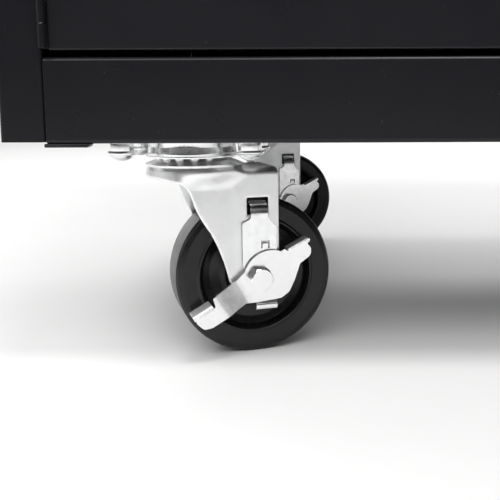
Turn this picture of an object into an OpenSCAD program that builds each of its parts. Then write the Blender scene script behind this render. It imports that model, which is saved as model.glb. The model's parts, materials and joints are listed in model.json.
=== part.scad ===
// Rolling tool chest: a folded steel cabinet with three drawers over a two-door
// compartment, a push handle, and four swivel casters with side-lock brakes.
// Millimetres, +Z up, front towards -Y. The origin is on the floor, under the
// middle of the whole object's box.

/* [Body] */
// Width over the two side panels
body_w = 680; // [620:10:740]
// Depth from the front face to the back panel
body_d = 480; // [460:10:520]
// Visible width of the corner posts
post_w = 25; // [22:0.1:27]
// Depth of the posts' return flanges
post_return = 30; // [28:1:36]
// Height of the bottom rail
rail_h = 47.4; // [40:0.1:60]
// Height of the rail between doors and drawers
divider_h = 20; // [16:1:30]
// Height of the top cap
cap_h = 46; // [40:1:60]
// Depth of the tray in the top cap
tray_depth = 10; // [6:1:14]

/* [Sheet metal] */
// Thickness of the body sheets
sheet = 1.2; // [1:0.1:1.6]
// Radius of the folds, at the middle of the sheet
fold_r = 1.8; // [1.5:0.1:3]
// Thickness of the drawer and door sheets
thin_sheet = 1; // [0.8:0.1:1.2]

/* [Drawers] */
// Front heights, from the top drawer down
drawer_heights = [75, 75, 110]; // [60:5:130]
// Gap between neighbouring fronts
front_gap = 3.7; // [3:0.1:5]
// Thickness of drawer and door fronts
front_t = 18; // [16:1:22]
// Thickness of a drawer slide
slide_t = 12.7; // [12:0.1:14]
// Height of a drawer slide
slide_h = 35; // [30:1:38]

/* [Doors] */
// Height of the doors
door_h = 350; // [300:10:420]
// Gap between the two doors
door_split = 3.6; // [3:0.1:5]
// Length of one hinge knuckle
knuckle_h = 13.3; // [12:0.1:16]
// Outer radius of the hinge barrel
barrel_r = 2.3; // [2.2:0.1:2.6]
// Radius of the hinge pin
pin_r = 1.2; // [1:0.1:1.3]

/* [Pulls and handle] */
// How far the pulls stand out of the front
front_reach = 16; // [14:1:22]
// How far the push handle stands out of the right side
handle_reach = 58; // [50:1:70]
// Outer radius of the push handle's tube
handle_r = 11; // [10:0.5:13]

/* [Casters] */
// Radius of the wheels
wheel_r = 50; // [48:0.5:51]
// Width of the tread
wheel_w = 30.4; // [28:0.1:31]
// Height of the chest's underside above the floor
base_z = 136; // [135.5:0.1:137]
// Distance from the swivel pin to the axle
trail = 35.4; // [34:0.1:36]
// Distance of the swivel pins from the body's sides
pivot_x = 96.6; // [92:0.1:100]
// Distance of the swivel pins from the body's front and back
pivot_y = 55.9; // [54:0.1:60]
// Angle of each caster: front left, front right, rear left, rear right
swivel_angles = [19.6, 20.4, 18.5, 17.2]; // [0:0.1:360]

/* [Hidden] */
$fn = 64;

satin_black = "#242326";
zinc = "#c9cbcc";
aluminium_grey = "#b4b6b8";
black_rubber = "#1b1b1c";

// Heights of the front, from the bottom rail up
rail_top = base_z + rail_h;
door_z = rail_top + front_gap;
divider_z = door_z + door_h + front_gap;
divider_top = divider_z + divider_h;
drawer_z = [
    for (i = [0 : 2])
        divider_top + front_gap * (3 - i)
        + (i < 2 ? drawer_heights[2] : 0) + (i < 1 ? drawer_heights[1] : 0)
];
cap_z = drawer_z[0] + drawer_heights[0] + front_gap;
top_z = cap_z + cap_h;
panel_z = base_z + 0.9;
rim_w = 14;
mat_t = 3;

// Widths of what sits between the posts
inner_x = post_w;
inner_w = body_w - 2 * post_w;
seam = 0.3;
back_seam = 0.02;
door_x = post_w + 3.8;
door_w = (body_w - 2 * door_x - door_split) / 2;
drawer_front_x = post_w + 3;
drawer_front_w = body_w - 2 * drawer_front_x;
drawer_box_x = post_w + slide_t + 0.4;
drawer_box_w = body_w - 2 * drawer_box_x;
drawer_box_d = 428;
slide_y = front_t + 1;
slide_back = 36;
slide_len = body_d - slide_back - slide_y;

// Hinge axis in the gap beside the door, just proud of the front
hinge_x = post_w + 1.7;
hinge_y = -2.5;
leaf_t = 1;
knuckles = floor(door_h / knuckle_h);
knuckle_gap = 0.3;
knuckle_z = door_z + 1;
leaf_h = knuckles * knuckle_h - knuckle_gap;

// Clearance of a running fit, on the radius
running_fit = 0.05;

// Locks
lock_r = 8;
lock_wall = 2;
lock_flange_t = 2;
cam_w = 12;
cam_t = 2;
door_cam_reach = 36;
drawer_cam_reach = 30;
door_lock_x = body_w / 2 + door_split / 2 + 26;
door_lock_z = door_z + door_h - 50;
drawer_lock_x = body_w / 2 + 240;
drawer_lock_z = cap_z + 18;

// Pulls
pull_drop = 22;
pull_wall = 1.6;
pull_hook = 12;
door_pull_len = 150;

// Push handle
bracket_ring = 3;
handle_x = body_w + handle_reach - handle_r - bracket_ring;
handle_z = cap_z - 40;
bracket_y = [body_d / 2 - 175, body_d / 2 + 175];
bracket_t = 3;
screw_pitch = 40;
screw_r = 2.5;
screw_fit = 0.1;

// Caster plate and its bolts
plate_w = 92;
plate_d = 60;
plate_t = 3;
plate_top = base_z + 1.6;
plate_z = plate_top - plate_t;
bolt_dx = 76;
bolt_dy = 45;
bolt_r = 4;
channel_w = 104;
channel_t = 2;

// Swivel bearing
boss_z = 125;
crown_z = 124;
ball_r = 3;
race_r = 20;
balls = 14;
kingpin_r = 6;

// Fork
web_z = 121.5;
fork_t = 2.5;
leg_v = 21;
hood_r = 31;
hood_z = 112.6;
leg_end_r = 14.1;

// Axle: a hex bolt, its head on the lever's side, with a sleeve that the wheel turns on
sleeve_r = 6;
hub_half = 16.4;
spring_v = 22.6;
spring_t = 1.5;
lever_v = 24.1;
lever_t = 1.8;
arm_turn = 33;
joggle = 8;
nut_af = 13;
nut_h = 6.6;

caster_x = [pivot_x, body_w - pivot_x, pivot_x, body_w - pivot_x];
caster_y = [pivot_y, pivot_y, body_d - pivot_y, body_d - pivot_y];

// From the body's own corner to the object's origin
module place() {
    translate([-(body_w + handle_reach) / 2, -(body_d - front_reach) / 2, 0]) children();
}

// The right-hand twin of a left-hand piece
module right_hand() {
    translate([body_w, 0, 0]) mirror([1, 0, 0]) children();
}

// ---- Folded sheet: a strip of thickness t along a path with square corners ----
function unit(v) = v / norm(v);
function left_of(v) = [-v[1], v[0]];
function strip_corner(p, i, d, r) =
    let (
        a = unit(p[i] - p[i - 1]),
        b = unit(p[i + 1] - p[i]),
        turn = a[0] * b[1] - a[1] * b[0],
        centre = p[i] + (b - a) * r
    )
    [for (phi = [0 : 18 : 90]) centre + (r - turn * d) * (a * sin(phi) - b * cos(phi))];
function strip_side(p, d, r) =
    let (n = len(p) - 1)
    concat(
        [p[0] + left_of(unit(p[1] - p[0])) * d],
        [for (i = [1 : n - 1]) each strip_corner(p, i, d, r)],
        [p[n] + left_of(unit(p[n] - p[n - 1])) * d]
    );
function reversed(list) = [for (i = [len(list) - 1 : -1 : 0]) list[i]];
module strip(path, t = sheet, r = fold_r) {
    polygon(concat(strip_side(path, t / 2, r), reversed(strip_side(path, -t / 2, r))));
}
// A strip whose path is given in (y, z), drawn along x from x0
module folded_along_x(x0, w, path, t = sheet) {
    translate([x0, 0, 0])
        rotate([90, 0, 90])
            linear_extrude(height = w) strip(path, t);
}
// A strip whose path is given in (x, z), drawn along y from y0
module folded_along_y(y0, len, path, t = sheet) {
    translate([0, y0 + len, 0])
        rotate([90, 0, 0])
            linear_extrude(height = len) strip(path, t);
}
module rounded_rect(w, d, r) {
    translate([r, 0]) square([w - 2 * r, d]);
    translate([0, r]) square([w, d - 2 * r]);
    for (x = [r, w - r], y = [r, d - r])
        translate([x, y]) circle(r = r);
}
// A cylinder along +Y from the given point
module y_cylinder(x, y, z, r, h) {
    translate([x, y, z]) rotate([-90, 0, 0]) cylinder(r = r, h = h);
}
// A cylinder along +X from the given point
module x_cylinder(x, y, z, r, h) {
    translate([x, y, z]) rotate([0, 90, 0]) cylinder(r = r, h = h);
}

// ---- Body ----
module side_panel() {
    half = sheet / 2;
    path = [
        [post_w - half, post_return],
        [post_w - half, half],
        [half, half],
        [half, body_d - half],
        [post_w - half, body_d - half],
        [post_w - half, body_d - post_return]
    ];
    translate([0, 0, panel_z]) linear_extrude(height = cap_z - panel_z) strip(path);
    translate([sheet, post_return + 1, panel_z])
        cube([post_w - sheet, body_d - 2 * post_return - 2, sheet]);
}
module side_panel_left() {
    color(satin_black) place() side_panel();
}
module side_panel_right() {
    color(satin_black) place() difference() {
        right_hand() side_panel();
        for (y = bracket_y, z = [-screw_pitch, screw_pitch] / 2)
            x_cylinder(body_w - 2 * sheet, y, handle_z + z, screw_r + screw_fit, 3 * sheet);
    }
}
module back_panel() {
    color(satin_black) place()
        translate([inner_x + back_seam, body_d - sheet, panel_z])
            cube([inner_w - 2 * back_seam, sheet, cap_z - panel_z]);
}
// A folded cap: a hollow rim round a shallow tray
module top_cap() {
    corner_r = 4;
    inside_w = body_w - 2 * sheet;
    inside_d = body_d - 2 * sheet;
    tray_w = body_w - 2 * rim_w;
    tray_d = body_d - 2 * rim_w;
    color(satin_black) place() difference() {
        translate([0, 0, cap_z])
            linear_extrude(height = cap_h) rounded_rect(body_w, body_d, corner_r);
        translate([sheet, sheet, cap_z - 1])
            linear_extrude(height = cap_h - tray_depth - sheet + 1)
                rounded_rect(inside_w, inside_d, corner_r - sheet);
        translate([sheet, sheet, cap_z - 1])
            linear_extrude(height = cap_h - sheet + 1) difference() {
                rounded_rect(inside_w, inside_d, corner_r - sheet);
                translate([rim_w - 2 * sheet, rim_w - 2 * sheet])
                    rounded_rect(tray_w + 2 * sheet, tray_d + 2 * sheet, corner_r + sheet);
            }
        translate([rim_w, rim_w, top_z - tray_depth])
            linear_extrude(height = tray_depth + 1) rounded_rect(tray_w, tray_d, corner_r);
        y_cylinder(drawer_lock_x, -1, drawer_lock_z, lock_r + lock_wall + 0.1, 2 * sheet + 1);
    }
}
module top_mat() {
    margin = 1;
    color(black_rubber) place()
        translate([rim_w + margin, rim_w + margin, top_z - tray_depth])
            linear_extrude(height = mat_t)
                rounded_rect(body_w - 2 * (rim_w + margin), body_d - 2 * (rim_w + margin), 4);
}
// The front is the bottom rail, folded into the floor of the compartment
module base_pan() {
    half = sheet / 2;
    path = [
        [22, base_z + half],
        [half, base_z + half],
        [half, rail_top - half],
        [body_d - sheet - half, rail_top - half],
        [body_d - sheet - half, base_z + 4]
    ];
    color(satin_black) place()
        folded_along_x(inner_x + seam, inner_w - 2 * seam, path);
}
module divider_panel() {
    half = sheet / 2;
    path = [
        [12, divider_z + half],
        [half, divider_z + half],
        [half, divider_top - half],
        [body_d - sheet - half, divider_top - half],
        [body_d - sheet - half, divider_z]
    ];
    color(satin_black) place()
        folded_along_x(inner_x + seam, inner_w - 2 * seam, path);
}
// Channels under the floor that carry the casters
module caster_channels() {
    y0 = 22.6;
    half = channel_t / 2;
    deck = rail_top - sheet;
    color(satin_black) place() difference() {
        for (x = [pivot_x, body_w - pivot_x])
            folded_along_y(y0, body_d - 2 * y0, [
                [x - channel_w / 2 - 12, deck - half],
                [x - channel_w / 2 + half, deck - half],
                [x - channel_w / 2 + half, plate_top + half],
                [x + channel_w / 2 - half, plate_top + half],
                [x + channel_w / 2 - half, deck - half],
                [x + channel_w / 2 + 12, deck - half]
            ], channel_t);
        for (i = [0 : 3])
            translate([caster_x[i], caster_y[i], plate_top - 1]) plate_bolt_holes(channel_t + 2);
    }
}
// Three-cornered plates welded across the corners, whose front edges show under the rail
module corner_gussets() {
    gusset_t = 2.1;
    x0 = post_w - 1;
    x1 = post_w + 26;
    nose = 3.4;
    leg = 58;
    color(satin_black) place()
        for (left = [true, false], front = [true, false])
            translate([left ? 0 : body_w, front ? 0 : body_d, base_z - gusset_t])
                to_corner(left, front) intersection() {
                    linear_extrude(height = gusset_t)
                        polygon([[x0, 0.6], [x1, 0.6], [x1, 3], [x0 + 3, leg], [x0, leg]]);
                    // the tip tapers up to the rail
                    translate([0, leg + 1, 0]) rotate([90, 0, 0]) linear_extrude(height = leg + 1)
                        polygon([[x0, 0], [x1 - nose, 0], [x1, gusset_t], [x0, gusset_t]]);
                }
}
// Turns a front left corner piece round to one of the four corners
module to_corner(left, front) {
    if (left && front) children();
    else if (front) mirror([1, 0, 0]) children();
    else if (left) mirror([0, 1, 0]) children();
    else rotate([0, 0, 180]) children();
}

// ---- Drawers ----
slide_z = [for (i = [0 : 2]) drawer_z[i] + drawer_heights[i] / 2 - 4];

module slide_channels() {
    half = sheet / 2;
    lip = 8.5;
    color(zinc) place() for (i = [0 : 2]) {
        z0 = slide_z[i] - slide_h / 2 + half;
        z1 = slide_z[i] + slide_h / 2 - half;
        path = [[inner_x + lip, z0], [inner_x + half, z0], [inner_x + half, z1], [inner_x + lip, z1]];
        folded_along_y(slide_y, slide_len, path);
        right_hand() folded_along_y(slide_y, slide_len, path);
    }
}
module drawer_runners(i) {
    half = sheet / 2;
    runner_h = 24;
    lip = 8;
    x1 = drawer_box_x - half;
    z0 = slide_z[i] - runner_h / 2 + half;
    z1 = slide_z[i] + runner_h / 2 - half;
    path = [[x1 - lip, z0], [x1, z0], [x1, z1], [x1 - lip, z1]];
    color(zinc) place() {
        folded_along_y(front_t, drawer_box_d, path);
        right_hand() folded_along_y(front_t, drawer_box_d, path);
    }
}
module drawer(i) {
    t = thin_sheet;
    h = drawer_heights[i];
    box_z = drawer_z[i] + 9;
    box_h = h - 9 - 12;
    color(satin_black) place() {
        difference() {
            translate([drawer_front_x, 0, drawer_z[i]]) cube([drawer_front_w, front_t, h]);
            translate([drawer_front_x + t, t, drawer_z[i] + t])
                cube([drawer_front_w - 2 * t, front_t, h - 2 * t]);
        }
        difference() {
            translate([drawer_box_x, front_t - t, box_z])
                cube([drawer_box_w, drawer_box_d + t, box_h]);
            translate([drawer_box_x + t, front_t, box_z + t])
                cube([drawer_box_w - 2 * t, drawer_box_d - t, box_h]);
        }
        translate([drawer_front_x + t, front_t - t, drawer_z[i] + t])
            cube([drawer_front_w - 2 * t, t, h - 2 * t]);
    }
}
// Section of the extruded pulls: out from the face at 0, then down in a finger hook
module pull_section() {
    half = pull_wall / 2;
    strip([
        [-half, -pull_drop],
        [-half, -half],
        [half - front_reach, -half],
        [half - front_reach, -pull_hook]
    ], pull_wall, pull_wall);
}
module drawer_pull(i) {
    top = drawer_z[i] + drawer_heights[i] - 2;
    color(aluminium_grey) place()
        translate([drawer_front_x + 2, 0, top])
            rotate([90, 0, 90])
                linear_extrude(height = drawer_front_w - 4) pull_section();
}

// ---- Doors ----
module door() {
    t = thin_sheet;
    lip = 14;
    difference() {
        translate([door_x, 0, door_z]) cube([door_w, front_t, door_h]);
        translate([door_x + t, t, door_z + t])
            cube([door_w - 2 * t, front_t - 2 * t, door_h - 2 * t]);
        translate([door_x + lip, front_t / 2, door_z + lip])
            cube([door_w - 2 * lip, front_t, door_h - 2 * lip]);
    }
}
module door_left() {
    color(satin_black) place() door();
}
module door_right() {
    color(satin_black) place() difference() {
        right_hand() door();
        y_cylinder(door_lock_x, -1, door_lock_z, lock_r + running_fit, 3);
    }
}
module door_pull() {
    translate([door_x + door_w - 6, 0, door_z + door_h - 90 - door_pull_len])
        linear_extrude(height = door_pull_len) mirror([1, -1]) pull_section();
}
module door_pull_left() {
    color(aluminium_grey) place() door_pull();
}
module door_pull_right() {
    color(aluminium_grey) place() right_hand() door_pull();
}
module hinge_knuckles(first) {
    for (k = [first : 2 : knuckles - 1])
        translate([hinge_x, hinge_y, knuckle_z + k * knuckle_h])
            cylinder(r = barrel_r, h = knuckle_h - knuckle_gap);
}
// Slots between one leaf's knuckles, where the other leaf's knuckles turn
module knuckle_slots(first) {
    for (k = [first : 2 : knuckles - 1])
        translate([hinge_x - 4, hinge_y - 4, knuckle_z + k * knuckle_h - knuckle_gap])
            cube([8, 4 + barrel_r + 0.6, knuckle_h + knuckle_gap]);
}
module hinge_bore() {
    translate([hinge_x, hinge_y, door_z])
        cylinder(r = pin_r + running_fit, h = door_h);
}
module hinge_leaf(x, first) {
    depth = 16;
    difference() {
        union() {
            hinge_knuckles(first);
            difference() {
                translate([x, hinge_y + 1, knuckle_z]) cube([leaf_t, depth, leaf_h]);
                knuckle_slots(1 - first);
            }
        }
        hinge_bore();
    }
}
module frame_leaf() {
    hinge_leaf(inner_x, 0);
}
module door_leaf() {
    hinge_leaf(door_x - leaf_t, 1);
}
module hinge_frame_leaves() {
    color(satin_black) place() {
        frame_leaf();
        right_hand() frame_leaf();
    }
}
module hinge_leaf_left() {
    color(satin_black) place() door_leaf();
}
module hinge_leaf_right() {
    color(satin_black) place() right_hand() door_leaf();
}
module hinge_pins() {
    color(zinc) place()
        for (x = [hinge_x, body_w - hinge_x])
            translate([x, hinge_y, knuckle_z])
                cylinder(r = pin_r, h = leaf_h);
}
// Magnetic catches under the divider, one for each door
module door_catches() {
    catch_w = 44;
    catch_d = 14;
    catch_drop = 12;
    apart = 40;
    color(black_rubber) place()
        for (x = [-1, 1])
            translate([body_w / 2 + x * (apart + catch_w / 2), front_t + 0.4, divider_z - catch_drop])
                translate([-catch_w / 2, 0, 0])
                    cube([catch_w, catch_d, catch_drop + divider_h - sheet]);
}
// A lock plug with a keyway, turning a cam behind the panel
module lock_plug(depth, reach, cam_turn) {
    head_t = 2.5;
    key_w = 1.2;
    key_h = 7;
    color(zinc) {
        difference() {
            y_cylinder(0, -head_t, 0, lock_r, head_t + depth);
            translate([-key_w / 2, -head_t - 1, -key_h / 2]) cube([key_w, 3, key_h]);
        }
        translate([0, depth, 0])
            rotate([0, cam_turn, 0])
                translate([-cam_w / 2, 0, -cam_w / 2])
                    cube([reach + cam_w / 2, cam_t, cam_w]);
    }
}
module door_lock_plug() {
    place() translate([door_lock_x, 0, door_lock_z])
        lock_plug(front_t + 0.4, door_cam_reach, 90);
}
module drawer_lock_barrel() {
    flange_r = lock_r + 2 * lock_wall;
    color(zinc) place() difference() {
        union() {
            y_cylinder(drawer_lock_x, -lock_flange_t, drawer_lock_z, flange_r, lock_flange_t);
            y_cylinder(drawer_lock_x, -lock_flange_t, drawer_lock_z, lock_r + lock_wall, front_t);
        }
        y_cylinder(drawer_lock_x, -3, drawer_lock_z, lock_r + running_fit, front_t + 3);
    }
}
module drawer_lock_plug() {
    place() translate([drawer_lock_x, 0, drawer_lock_z])
        lock_plug(front_t + 2.4, drawer_cam_reach, 0);
}

// ---- Inside the compartment ----
shelf_z = door_z + 168;
shelf_end = 34;
module shelf() {
    half = sheet / 2;
    lip = 18;
    y0 = shelf_end;
    y1 = body_d - shelf_end;
    path = [
        [y0 + 12, shelf_z - lip],
        [y0 + half, shelf_z - lip],
        [y0 + half, shelf_z - half],
        [y1 - half, shelf_z - half],
        [y1 - half, shelf_z - lip]
    ];
    color(satin_black) place() folded_along_x(inner_x + 2, inner_w - 4, path);
}
module shelf_clips() {
    clip = [9, 12, 7];
    clip_end = shelf_end + 14;
    color(zinc) place()
        for (x = [inner_x, body_w - inner_x - clip[0]], y = [clip_end, body_d - clip_end - clip[1]])
            translate([x, y, shelf_z - sheet - clip[2]]) cube(clip);
}

// ---- Push handle ----
module push_handle() {
    overhang = 16;
    wall = 1.5;
    cap_t = 3;
    y0 = bracket_y[0] - overhang;
    grip = bracket_y[1] - bracket_y[0] + 2 * overhang;
    color(zinc) place() difference() {
        y_cylinder(handle_x, y0, handle_z, handle_r, grip);
        y_cylinder(handle_x, y0 + cap_t, handle_z, handle_r - wall, grip - 2 * cap_t);
    }
}
module handle_brackets() {
    base_w = 22;
    base_h = 62;
    arm_t = 8;
    arm_h = 24;
    color(satin_black) place() for (y = bracket_y) difference() {
        union() {
            translate([body_w, y - base_w / 2, handle_z - base_h / 2])
                cube([bracket_t, base_w, base_h]);
            translate([body_w, y - arm_t / 2, handle_z - arm_h / 2])
                cube([handle_x - body_w, arm_t, arm_h]);
            y_cylinder(handle_x, y - arm_t / 2, handle_z, handle_r + bracket_ring, arm_t);
        }
        y_cylinder(handle_x, y - arm_t, handle_z, handle_r + running_fit, 2 * arm_t);
        for (z = [-screw_pitch, screw_pitch] / 2)
            x_cylinder(body_w - 1, y, handle_z + z, screw_r + screw_fit, bracket_t + 2);
    }
}
module handle_screws() {
    shank = 10;
    head_r = 4.5;
    head_h = 2.6;
    color(zinc) place()
        for (y = bracket_y, z = [-screw_pitch, screw_pitch] / 2) {
            x_cylinder(body_w - shank, y, handle_z + z, screw_r, shank + bracket_t);
            x_cylinder(body_w + bracket_t, y, handle_z + z, head_r, head_h);
        }
}

// ---- Casters, drawn about the swivel pin with the axle at +X ----
module each_caster() {
    place() for (i = [0 : 3])
        translate([caster_x[i], caster_y[i], 0]) children();
}
module caster(i) {
    place() translate([caster_x[i], caster_y[i], 0]) rotate([0, 0, swivel_angles[i]]) children();
}
// Across the axle: +Y is the far side, and v counts from the wheel's middle
module across(v, h, r) {
    y_cylinder(trail, v, wheel_r, r, h);
}
module plate_bolt_holes(h) {
    for (x = [-bolt_dx, bolt_dx] / 2, y = [-bolt_dy, bolt_dy] / 2)
        translate([x, y, 0]) cylinder(r = bolt_r + 0.3, h = h);
}
module caster_plates() {
    color(zinc) each_caster() difference() {
        union() {
            translate([-plate_w / 2, -plate_d / 2, plate_z])
                linear_extrude(height = plate_t) rounded_rect(plate_w, plate_d, 7);
            // raceway boss, flared towards its lower rim
            rotate_extrude() polygon([
                [0, plate_z + 1], [26, plate_z + 1], [26.6, plate_z - 1], [27.2, boss_z + 2.4],
                [28.6, boss_z + 1.2], [28.6, boss_z], [12, boss_z], [12, boss_z + 3], [0, boss_z + 3]
            ]);
        }
        translate([0, 0, plate_z - 1]) plate_bolt_holes(plate_t + 2);
        translate([0, 0, boss_z - 1]) cylinder(r = kingpin_r + running_fit, h = 20);
        translate([0, 0, (boss_z + crown_z) / 2]) race_groove();
    }
}
module race_groove() {
    rotate_extrude() translate([race_r, 0]) circle(r = ball_r + running_fit);
}
module swivel_balls() {
    color(zinc) each_caster()
        for (k = [0 : balls - 1])
            rotate([0, 0, k * 360 / balls])
                translate([race_r, 0, (boss_z + crown_z) / 2]) sphere(r = ball_r);
}
module swivel_pins() {
    head_t = 4;
    bottom = web_z - fork_t - 0.3;
    color(zinc) each_caster() {
        translate([0, 0, bottom - head_t]) cylinder(r = 11, h = head_t);
        translate([0, 0, bottom]) cylinder(r = kingpin_r, h = plate_top - bottom - 1);
    }
}
// Domed bolt, split washer and collar below the plate, nut above the channel
module plate_bolt() {
    collar_r = 7;
    collar_t = 5.1;
    washer_r = 8.4;
    washer_t = 1.7;
    head_h = 4;
    head_r = 7.7;
    dome_r = (head_r * head_r + head_h * head_h) / (2 * head_h);
    under = plate_z - collar_t - washer_t;
    nut_z = plate_top + channel_t;
    difference() {
        union() {
            translate([0, 0, plate_z - collar_t]) cylinder(r = collar_r, h = collar_t);
            translate([0, 0, under]) rotate([4, 0, 0]) cylinder(r = washer_r, h = washer_t - 0.4);
            translate([0, 0, under]) cylinder(r = bolt_r, h = nut_z + 9 - under);
            translate([0, 0, nut_z]) cylinder(r = nut_af / sqrt(3), h = nut_h, $fn = 6);
        }
        translate([5, -1, under - 1]) cube([6, 2, washer_t + 1]);
    }
    intersection() {
        translate([0, 0, under - head_h + dome_r]) sphere(r = dome_r);
        translate([0, 0, under - head_h]) cylinder(r = head_r, h = head_h);
    }
}
module plate_bolts() {
    color(zinc) each_caster()
        for (x = [-bolt_dx, bolt_dx] / 2, y = [-bolt_dy, bolt_dy] / 2)
            translate([x, y, 0]) plate_bolt();
}

// A quadratic curve between two points, pulled towards a third
function curve(a, b, c, n = 8) =
    [for (i = [0 : n]) let (s = i / n) a * (1 - s) * (1 - s) + b * 2 * s * (1 - s) + c * s * s];
// Leg outline in (x, z): sweeps from the hood down to a round end below the axle
function leg_outline() = concat(
    [[-17, web_z], [-17, hood_z - 1]],
    curve([-14, hood_z - 2], [-4.6, 108.5], [-2.6, 93.5]),
    curve([2.7, 83.8], [12.5, 64], [17.2, 47]),
    [for (a = [205 : 12.5 : 355]) [trail, wheel_r] + leg_end_r * [cos(a), sin(a)]],
    [[trail + leg_end_r, wheel_r], [trail + leg_end_r, web_z - 5], [trail + leg_end_r - 5, web_z]]
);
module hood_outline(grow) {
    circle(r = hood_r + grow);
    translate([0, -leg_v - grow]) square([trail + leg_end_r - 2, 2 * (leg_v + grow)]);
}
module caster_fork(i) {
    window_x = [29.3, 42.4];
    window_z = [89, 99.5];
    color(zinc) caster(i) difference() {
        union() {
            // hood: a flat web with a skirt round its nose
            difference() {
                translate([0, 0, hood_z])
                    linear_extrude(height = web_z - hood_z) hood_outline(0);
                translate([0, 0, hood_z - 1])
                    linear_extrude(height = web_z - hood_z - fork_t + 1) hood_outline(-fork_t);
                translate([hood_r - 6, -50, hood_z - 1]) cube([60, 100, web_z - hood_z - fork_t + 1]);
            }
            // raised crown that carries the lower race
            rotate_extrude() polygon([
                [0, web_z - fork_t], [29, web_z - fork_t], [28.4, web_z], [26.6, crown_z], [0, crown_z]
            ]);
            for (v = [-leg_v, leg_v - fork_t])
                translate([0, v + fork_t, 0])
                    rotate([90, 0, 0]) linear_extrude(height = fork_t) polygon(leg_outline());
        }
        translate([0, 0, web_z - 10]) cylinder(r = kingpin_r + running_fit, h = 20);
        translate([0, 0, (boss_z + crown_z) / 2]) race_groove();
        across(-leg_v - 1, 2 * leg_v + 2, bolt_r + 0.05);
        translate([window_x[0], -leg_v - 1, window_z[0]])
            cube([window_x[1] - window_x[0], fork_t + 2, window_z[1] - window_z[0]]);
    }
}
// Bottle-shaped leaf spring on the near leg, hooked through the leg's window
module brake_spring(i) {
    neck = [30.6, 41.9];
    body = [25.4, 47];
    foot = [33.5, 47];
    foot_z = 29.6;
    hook_z = 97.5;
    notch = [37, 68];
    outline = [
        [neck[0], hook_z], [neck[0], 87], [body[0], 83.5], [body[0], 58],
        [foot[0] - 3, 42], [foot[0], 36], [foot[0], foot_z], [foot[1], foot_z],
        [foot[1], 42], [body[1], 58], [body[1], 81], [neck[1], 86], [neck[1], hook_z]
    ];
    color(zinc) caster(i) difference() {
        union() {
            translate([0, -spring_v + spring_t - 0.05, 0])
                rotate([90, 0, 0]) linear_extrude(height = spring_t - 0.05) polygon(outline);
            translate([neck[0], -spring_v, hook_z - spring_t])
                cube([neck[1] - neck[0], 6, spring_t]);
            translate([foot[0], -spring_v, foot_z]) cube([foot[1] - foot[0], 5, spring_t]);
        }
        across(-spring_v - 1, 3, bolt_r + 0.1);
        translate([notch[0], -spring_v - 1, notch[1]]) cube([5, 4, 5]);
    }
}
module wheel_axle(i) {
    outer = lever_v + lever_t + 0.1;
    washer_t = leg_v - fork_t - hub_half - 0.15;
    color(zinc) caster(i) {
        across(-outer, outer + leg_v + nut_h + 1, bolt_r);
        translate([trail, -outer, wheel_r])
            rotate([90, 25, 0]) cylinder(r = nut_af / sqrt(3), h = nut_h, $fn = 6);
        difference() {
            translate([trail, leg_v, wheel_r])
                rotate([-90, 0, 0]) cylinder(r = nut_af / sqrt(3), h = nut_h, $fn = 6);
            across(leg_v - 1, nut_h + 2, bolt_r + running_fit);
        }
        difference() {
            union() {
                across(-leg_v + fork_t, 2 * (leg_v - fork_t), sleeve_r);
                across(-leg_v + fork_t, washer_t, 9);
                across(leg_v - fork_t - washer_t, washer_t, 9);
            }
            across(-leg_v, 2 * leg_v, bolt_r + running_fit);
        }
        difference() {
            across(-lever_v + 0.1, lever_v - spring_v - 0.2, 7.5);
            across(-lever_v, 3, bolt_r + running_fit);
        }
    }
}
// Rocking lever: a round body with a pedal on each arm, both with a flange
// turned in towards the wheel. The lower pedal is joggled outwards.
module lever_outline() {
    flat = -15.4;
    difference() {
        translate([7, -1]) circle(r = 17.6);
        translate([-20, flat - 10]) square([60, 10]);
    }
    rotate(25) translate([8, -8]) rounded_rect(28.5, 15.5, 3.5);
    rotate(arm_turn) translate([-46, -8.6]) rounded_rect(45, 17, 4);
}
module lever_section() {
    outer = lever_v + lever_t;
    polygon([
        [-60, -outer - joggle], [-26, -outer - joggle], [-16, -outer], [60, -outer],
        [60, -lever_v], [-15.5, -lever_v], [-25.5, -lever_v - joggle], [-60, -lever_v - joggle]
    ]);
}
module brake_lever(i) {
    flange = 8;
    color(zinc) caster(i) difference() {
        translate([trail, 0, wheel_r]) union() {
            intersection() {
                translate([0, -lever_v + 1, 0])
                    rotate([90, 0, 0]) linear_extrude(height = 20) lever_outline();
                rotate([0, -arm_turn, 0])
                    translate([0, 0, -60]) linear_extrude(height = 120) lever_section();
            }
            rotate([0, -25, 0])
                translate([20, -lever_v - lever_t, 5.9]) cube([15, flange + lever_t, 1.6]);
            rotate([0, -arm_turn, 0])
                translate([-44, -lever_v - lever_t - joggle, 6.8]) cube([15, flange + lever_t, 1.6]);
        }
        across(-lever_v - lever_t - 1, lever_t + 2, bolt_r + running_fit);
    }
}
// Solid wheel, dished on both sides between the hub and the tread
module wheel(i) {
    half = wheel_w / 2;
    side = [
        [sleeve_r + running_fit, hub_half], [15.5, hub_half], [17.5, hub_half - 1.6],
        [18.4, half - 5.6], [27, half - 6.8], [34, half - 5.4], [35.4, half - 2.2],
        [36.2, half], [45.8, half]
    ];
    shoulder = [for (a = [0 : 15 : 75]) [wheel_r - 3.4 + 3.4 * sin(a), half - 2.4 + 2 * cos(a)]];
    near = concat(side, shoulder);
    far = [for (k = [len(near) - 1 : -1 : 0]) [near[k][0], -near[k][1]]];
    color(black_rubber) caster(i)
        translate([trail, 0, wheel_r])
            rotate([-90, 0, 0])
                rotate_extrude($fn = 128)
                    polygon(concat(near, [[wheel_r, half - 3.6], [wheel_r, 3.6 - half]], far));
}

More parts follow.
